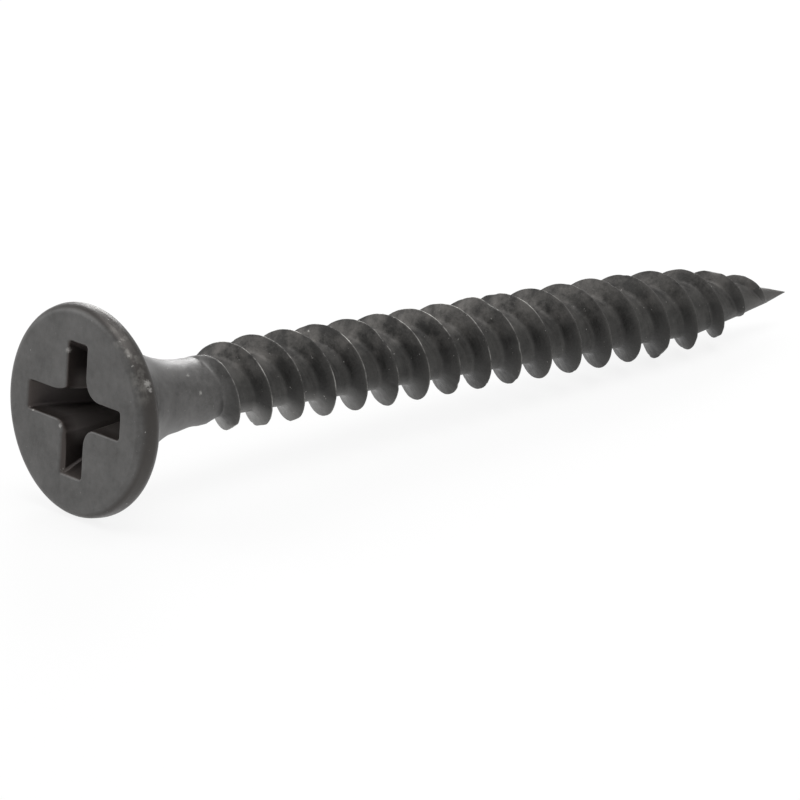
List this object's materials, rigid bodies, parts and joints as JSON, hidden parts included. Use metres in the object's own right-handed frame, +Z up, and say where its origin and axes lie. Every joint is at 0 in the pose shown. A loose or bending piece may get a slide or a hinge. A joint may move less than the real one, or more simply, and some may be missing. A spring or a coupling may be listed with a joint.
{
  "type": "drywall screw",
  "caption": "Fine-thread drywall screw with a bugle head, a cross recess, a ridge thread and a sharp point, lying at rest.",
  "frame": {"origin": "middle of the flat of the head, at the mouth of the drive recess", "axes": "+X towards the tip, with the screw's axis sloping down to the tip as the screw lies; +Z up from the surface it lies on; +Y across it"},
  "size_m": [0.0382, 0.0082, 0.0083],
  "materials": {
    "phosphated_steel": "matt dark grey phosphate on hardened steel"
  },
  "bodies": {
    "root": {"screw": "phosphated_steel"}
  },
  "joints": []
}
